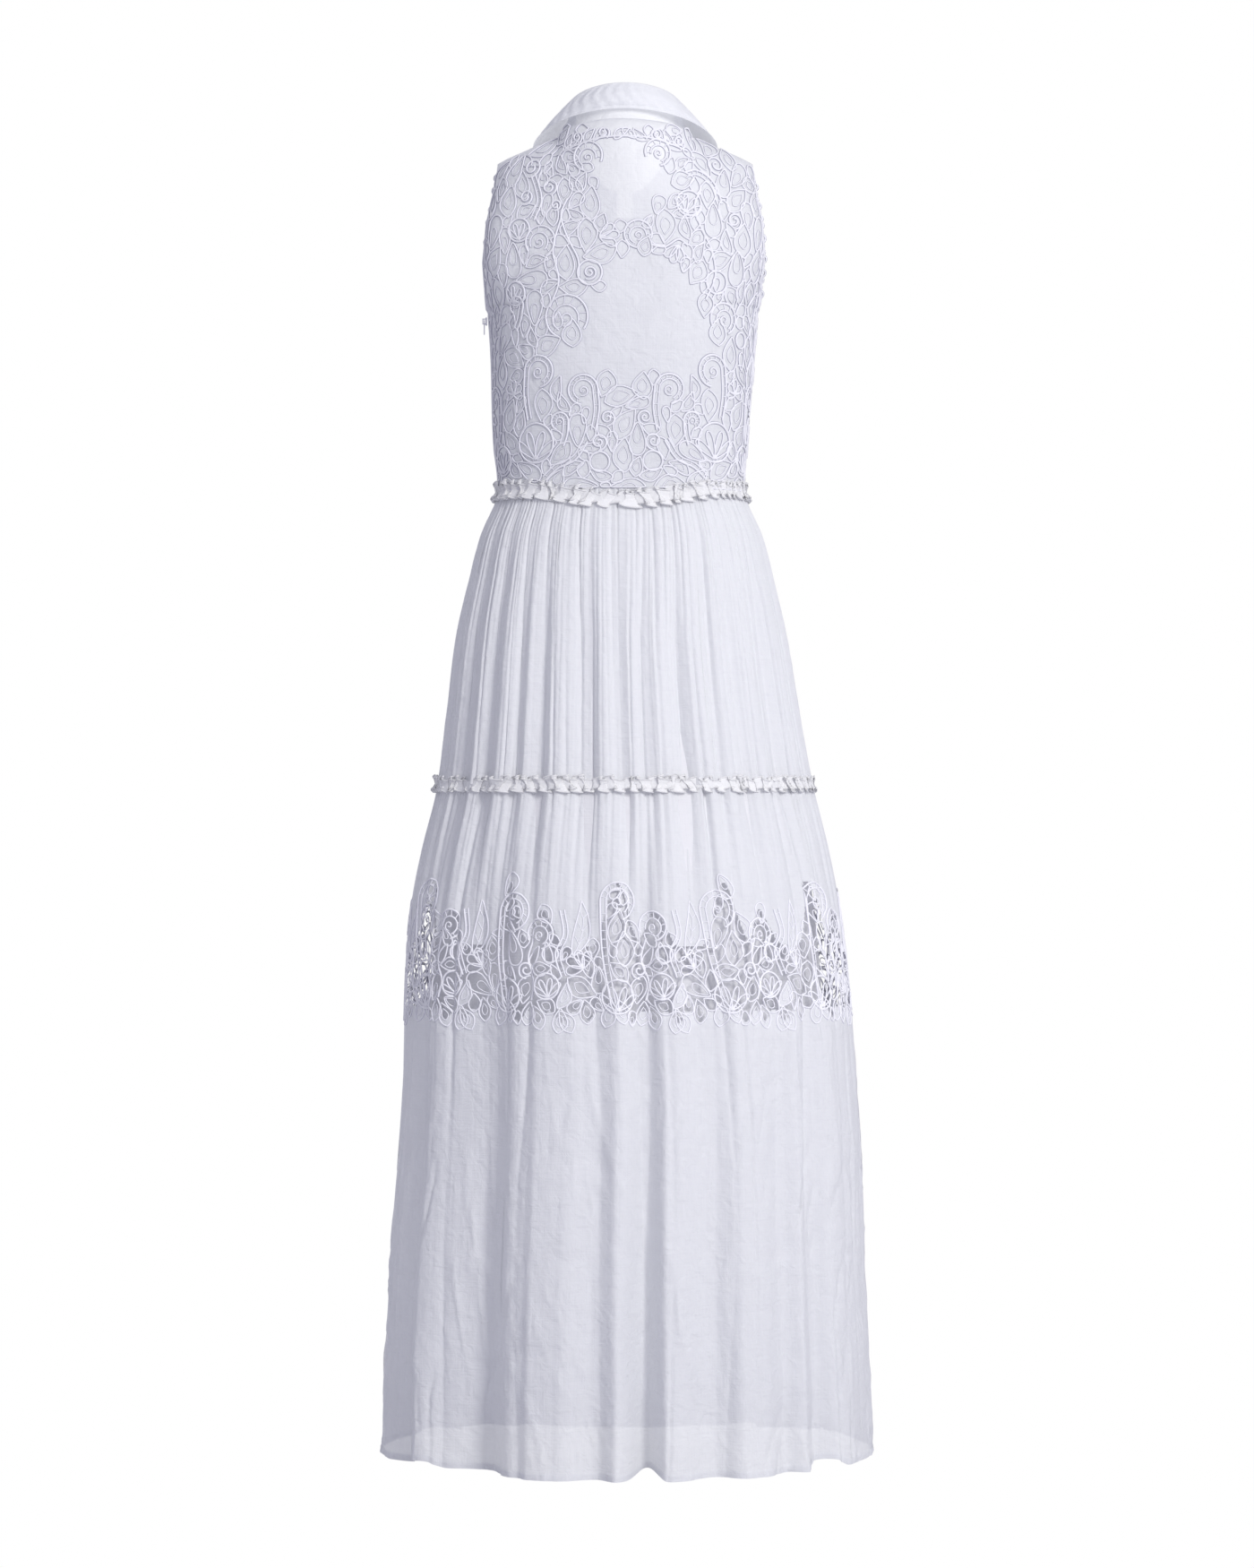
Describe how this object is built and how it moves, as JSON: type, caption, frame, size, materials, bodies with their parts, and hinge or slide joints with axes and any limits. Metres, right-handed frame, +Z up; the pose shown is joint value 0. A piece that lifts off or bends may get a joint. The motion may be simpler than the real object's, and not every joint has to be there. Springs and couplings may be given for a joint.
{
  "type": "maxi dress",
  "caption": "White sleeveless maxi dress with a shirt collar, gathered tiers, ruffled seams, corded cutwork lace and a side zip; hollow, filled out as worn.",
  "frame": {"origin": "midway between the two shoulders, on the dress's centre plane, where the wearer's shoulders hold it up", "axes": "+Z up, +Y towards the back of the dress, +X towards the wearer's left"},
  "size_m": [0.51, 0.4235, 1.407],
  "materials": {
    "cotton_voile": "crisp sheer plain weave",
    "corded_lace": "raised satin cord on voile",
    "lining_voile": "matte plain weave",
    "zip_metal": "painted satin"
  },
  "bodies": {
    "dress": {"bodice_back": "cotton_voile", "bodice_front_left": "cotton_voile", "bodice_front_right": "cotton_voile", "collar_fall": "cotton_voile", "collar_stand": "cotton_voile", "lace_band_back": "corded_lace", "lace_band_front": "corded_lace", "lace_waist_back": "corded_lace", "lace_waist_front_left": "corded_lace", "lace_waist_front_right": "corded_lace", "lace_yoke_back": "corded_lace", "lace_yoke_front_left": "corded_lace", "lace_yoke_front_right": "corded_lace", "lining_back": "lining_voile", "lining_front": "lining_voile", "tier_one_back": "cotton_voile", "tier_one_front": "cotton_voile", "tier_ruffle": "cotton_voile", "tier_two_skirt_back": "cotton_voile", "tier_two_skirt_front": "cotton_voile", "tier_two_top_back": "cotton_voile", "tier_two_top_front": "cotton_voile", "waist_ruffle": "cotton_voile", "zip_slider": "zip_metal"},
    "pull": {"zip_pull": "zip_metal"}
  },
  "joints": [
    {"name": "zip_pull_hinge", "type": "hinge", "parent": "dress", "child": "pull", "pos_m": [0.14628, 0, -0.169], "axis": [0, -1, 0], "range_deg": [0, 165]}
  ]
}
